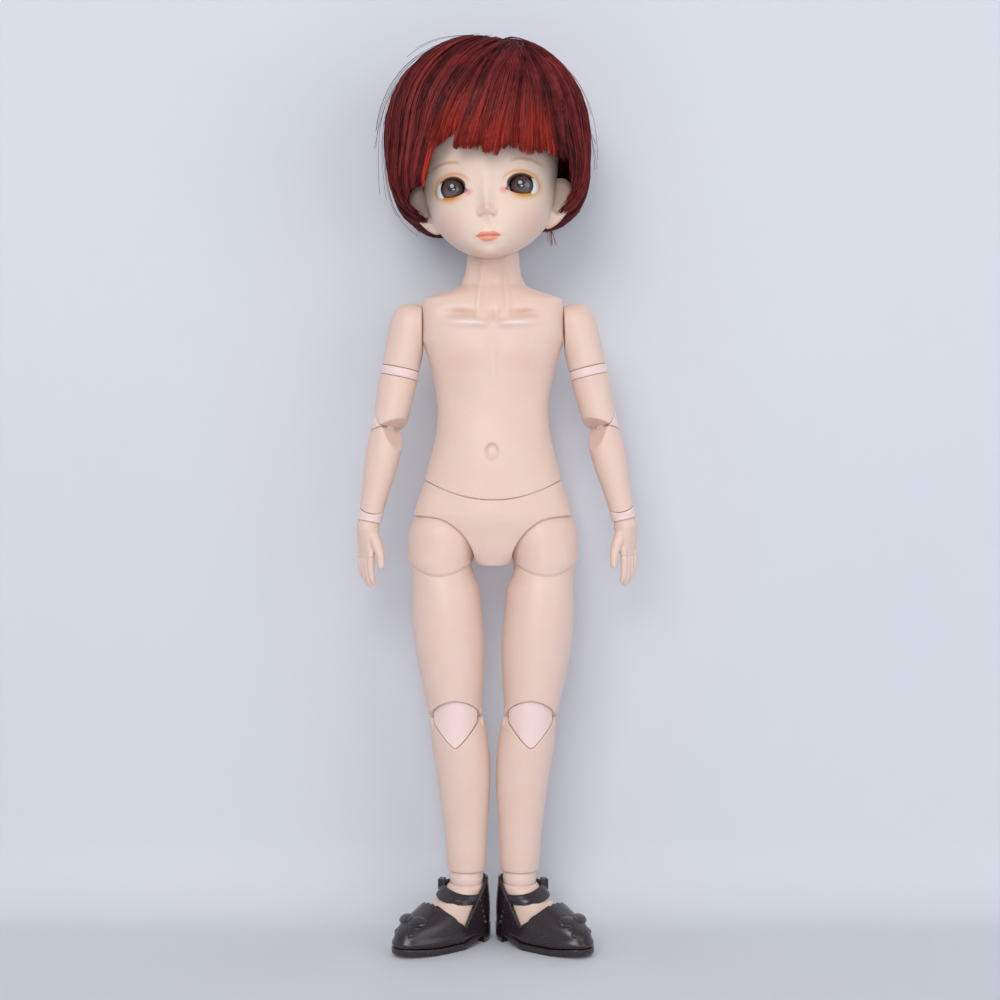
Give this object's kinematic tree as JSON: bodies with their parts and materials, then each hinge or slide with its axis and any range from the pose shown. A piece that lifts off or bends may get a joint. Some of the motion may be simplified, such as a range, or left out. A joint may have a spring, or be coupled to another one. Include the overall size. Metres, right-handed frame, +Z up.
{
  "type": "ball jointed doll",
  "caption": "Slim moulded toy doll with jointed neck, waist and limbs, glass-look eyes, a short wig and strap shoes.",
  "frame": {"origin": "on the floor between the feet, under the middle of the doll", "axes": "+Z up along the body, the doll faces -Y, its own left is +X"},
  "size_m": [0.0934, 0.0646, 0.2998],
  "materials": {
    "body_skin": "satin moulded vinyl, peach",
    "face_skin": "matt moulded vinyl, pale, painted make-up",
    "joint_plastic": "satin pinkish white",
    "inner_plastic": "plain, hidden inside",
    "eye_plastic": "clear gloss over a dark iris",
    "hair_fibre": "silky fibre, wine red",
    "shoe_vinyl": "soft black vinyl, half gloss",
    "steel": "plain steel"
  },
  "bodies": {
    "pelvis": {"pelvis_front": "body_skin", "pelvis_back": "body_skin", "pelvis_screw": "steel", "waist_peg": "inner_plastic"},
    "torso": {"torso_front": "body_skin", "torso_back": "body_skin", "torso_screw_upper": "steel", "torso_screw_lower": "steel"},
    "neck": {"neck_ball": "inner_plastic"},
    "head": {"face_shell": "face_skin", "head_back_cap": "face_skin", "eye_left": "eye_plastic", "eye_right": "eye_plastic", "wig": "hair_fibre"},
    "shoulder_left": {"shoulder_peg_left": "inner_plastic"},
    "upper_arm_left": {"shoulder_cap_left": "body_skin"},
    "lower_upper_arm_left": {"upper_arm_ring_left": "joint_plastic", "upper_arm_lower_left": "body_skin"},
    "elbow_left": {"elbow_joint_left": "joint_plastic", "elbow_pin_upper_left": "steel", "elbow_pin_lower_left": "steel"},
    "forearm_left": {"forearm_left": "body_skin", "wrist_ring_left": "joint_plastic"},
    "hand_left": {"hand_left": "body_skin"},
    "hip_left": {"hip_peg_left": "inner_plastic"},
    "thigh_left": {"thigh_left": "body_skin"},
    "knee_left": {"knee_joint_left": "joint_plastic", "knee_pin_upper_left": "steel", "knee_pin_lower_left": "steel"},
    "shin_left": {"shin_left": "body_skin"},
    "ankle_left": {"ankle_ball_left": "joint_plastic"},
    "foot_left": {"foot_left": "body_skin", "shoe_upper_left": "shoe_vinyl", "shoe_sole_left": "shoe_vinyl", "shoe_strap_left": "shoe_vinyl"},
    "shoulder_right": {"shoulder_peg_right": "inner_plastic"},
    "upper_arm_right": {"shoulder_cap_right": "body_skin"},
    "lower_upper_arm_right": {"upper_arm_ring_right": "joint_plastic", "upper_arm_lower_right": "body_skin"},
    "elbow_right": {"elbow_joint_right": "joint_plastic", "elbow_pin_upper_right": "steel", "elbow_pin_lower_right": "steel"},
    "forearm_right": {"forearm_right": "body_skin", "wrist_ring_right": "joint_plastic"},
    "hand_right": {"hand_right": "body_skin"},
    "hip_right": {"hip_peg_right": "inner_plastic"},
    "thigh_right": {"thigh_right": "body_skin"},
    "knee_right": {"knee_joint_right": "joint_plastic", "knee_pin_upper_right": "steel", "knee_pin_lower_right": "steel"},
    "shin_right": {"shin_right": "body_skin"},
    "ankle_right": {"ankle_ball_right": "joint_plastic"},
    "foot_right": {"foot_right": "body_skin", "shoe_upper_right": "shoe_vinyl", "shoe_sole_right": "shoe_vinyl", "shoe_strap_right": "shoe_vinyl"}
  },
  "joints": [
    {"name": "waist_twist", "type": "hinge", "parent": "pelvis", "child": "torso", "pos_m": [0, 0, 0.175], "axis": [0, 0, 1], "range_deg": [-35, 35]},
    {"name": "neck_turn", "type": "hinge", "parent": "torso", "child": "neck", "pos_m": [0, 0.002, 0.231], "axis": [0, 0, 1], "range_deg": [-45, 45]},
    {"name": "neck_nod", "type": "hinge", "parent": "neck", "child": "head", "pos_m": [0, 0.002, 0.231], "axis": [1, 0, 0], "range_deg": [-15, 2]},
    {"name": "shoulder_swing_left", "type": "hinge", "parent": "torso", "child": "shoulder_left", "pos_m": [0.0232, 0, 0.2035], "axis": [1, 0, 0], "range_deg": [-150, 50]},
    {"name": "shoulder_spread_left", "type": "hinge", "parent": "shoulder_left", "child": "upper_arm_left", "pos_m": [0.0256, 0, 0.2086], "axis": [0, -1, 0], "range_deg": [0, 80]},
    {"name": "upper_arm_twist_left", "type": "hinge", "parent": "upper_arm_left", "child": "lower_upper_arm_left", "pos_m": [0.0314, 0, 0.18932], "axis": [-0.2351, 0, 0.972], "range_deg": [-90, 90]},
    {"name": "elbow_upper_left", "type": "hinge", "parent": "lower_upper_arm_left", "child": "elbow_left", "pos_m": [0.03546, 0, 0.17251], "axis": [-0.5575, 0.8192, -0.1349], "range_deg": [0, 25]},
    {"name": "elbow_lower_left", "type": "hinge", "parent": "elbow_left", "child": "forearm_left", "pos_m": [0.03664, 0, 0.16765], "axis": [-0.5575, 0.8192, -0.1349], "range_deg": [0, 29]},
    {"name": "wrist_bend_left", "type": "hinge", "parent": "forearm_left", "child": "hand_left", "pos_m": [0.04398, 0, 0.13732], "axis": [0, -1, 0], "range_deg": [-30, 30]},
    {"name": "hip_swing_left", "type": "hinge", "parent": "pelvis", "child": "hip_left", "pos_m": [0.0163, 0, 0.133], "axis": [1, 0, 0], "range_deg": [-40, 30]},
    {"name": "hip_spread_left", "type": "hinge", "parent": "hip_left", "child": "thigh_left", "pos_m": [0.0163, 0, 0.133], "axis": [0, -1, 0], "range_deg": [0, 35]},
    {"name": "knee_upper_left", "type": "hinge", "parent": "thigh_left", "child": "knee_left", "pos_m": [0.0123, 0, 0.0776], "axis": [1, 0, 0], "range_deg": [0, 46]},
    {"name": "knee_lower_left", "type": "hinge", "parent": "knee_left", "child": "shin_left", "pos_m": [0.0123, 0, 0.0711], "axis": [1, 0, 0], "range_deg": [0, 46]},
    {"name": "ankle_turn_left", "type": "hinge", "parent": "shin_left", "child": "ankle_left", "pos_m": [0.0088, 0, 0.0205], "axis": [0, 0, 1], "range_deg": [-6, 15]},
    {"name": "ankle_bend_left", "type": "hinge", "parent": "ankle_left", "child": "foot_left", "pos_m": [0.0088, 0, 0.0205], "axis": [0.6947, 0.7193, 0], "range_deg": [-15, 1]},
    {"name": "shoulder_swing_right", "type": "hinge", "parent": "torso", "child": "shoulder_right", "pos_m": [-0.0232, 0, 0.2035], "axis": [1, 0, 0], "range_deg": [-150, 50]},
    {"name": "shoulder_spread_right", "type": "hinge", "parent": "shoulder_right", "child": "upper_arm_right", "pos_m": [-0.0256, 0, 0.2086], "axis": [0, 1, 0], "range_deg": [0, 80]},
    {"name": "upper_arm_twist_right", "type": "hinge", "parent": "upper_arm_right", "child": "lower_upper_arm_right", "pos_m": [-0.03072, 0, 0.18913], "axis": [-0.2011, 0, -0.9796], "range_deg": [-90, 90]},
    {"name": "elbow_upper_right", "type": "hinge", "parent": "lower_upper_arm_right", "child": "elbow_right", "pos_m": [-0.0342, 0, 0.17219], "axis": [-0.5619, -0.8192, 0.1153], "range_deg": [0, 25]},
    {"name": "elbow_lower_right", "type": "hinge", "parent": "elbow_right", "child": "forearm_right", "pos_m": [-0.0352, 0, 0.16729], "axis": [-0.5619, -0.8192, 0.1153], "range_deg": [0, 29]},
    {"name": "wrist_bend_right", "type": "hinge", "parent": "forearm_right", "child": "hand_right", "pos_m": [-0.04148, 0, 0.13672], "axis": [0, 1, 0], "range_deg": [-30, 30]},
    {"name": "hip_swing_right", "type": "hinge", "parent": "pelvis", "child": "hip_right", "pos_m": [-0.0163, 0, 0.133], "axis": [1, 0, 0], "range_deg": [-40, 30]},
    {"name": "hip_spread_right", "type": "hinge", "parent": "hip_right", "child": "thigh_right", "pos_m": [-0.0163, 0, 0.133], "axis": [0, 1, 0], "range_deg": [0, 35]},
    {"name": "knee_upper_right", "type": "hinge", "parent": "thigh_right", "child": "knee_right", "pos_m": [-0.0123, 0, 0.0776], "axis": [1, 0, 0], "range_deg": [0, 46]},
    {"name": "knee_lower_right", "type": "hinge", "parent": "knee_right", "child": "shin_right", "pos_m": [-0.0123, 0, 0.0711], "axis": [1, 0, 0], "range_deg": [0, 46]},
    {"name": "ankle_turn_right", "type": "hinge", "parent": "shin_right", "child": "ankle_right", "pos_m": [-0.0088, 0, 0.0205], "axis": [0, 0, -1], "range_deg": [-6, 15]},
    {"name": "ankle_bend_right", "type": "hinge", "parent": "ankle_right", "child": "foot_right", "pos_m": [-0.0088, 0, 0.0205], "axis": [0.6947, -0.7193, 0], "range_deg": [-15, 1]}
  ]
}
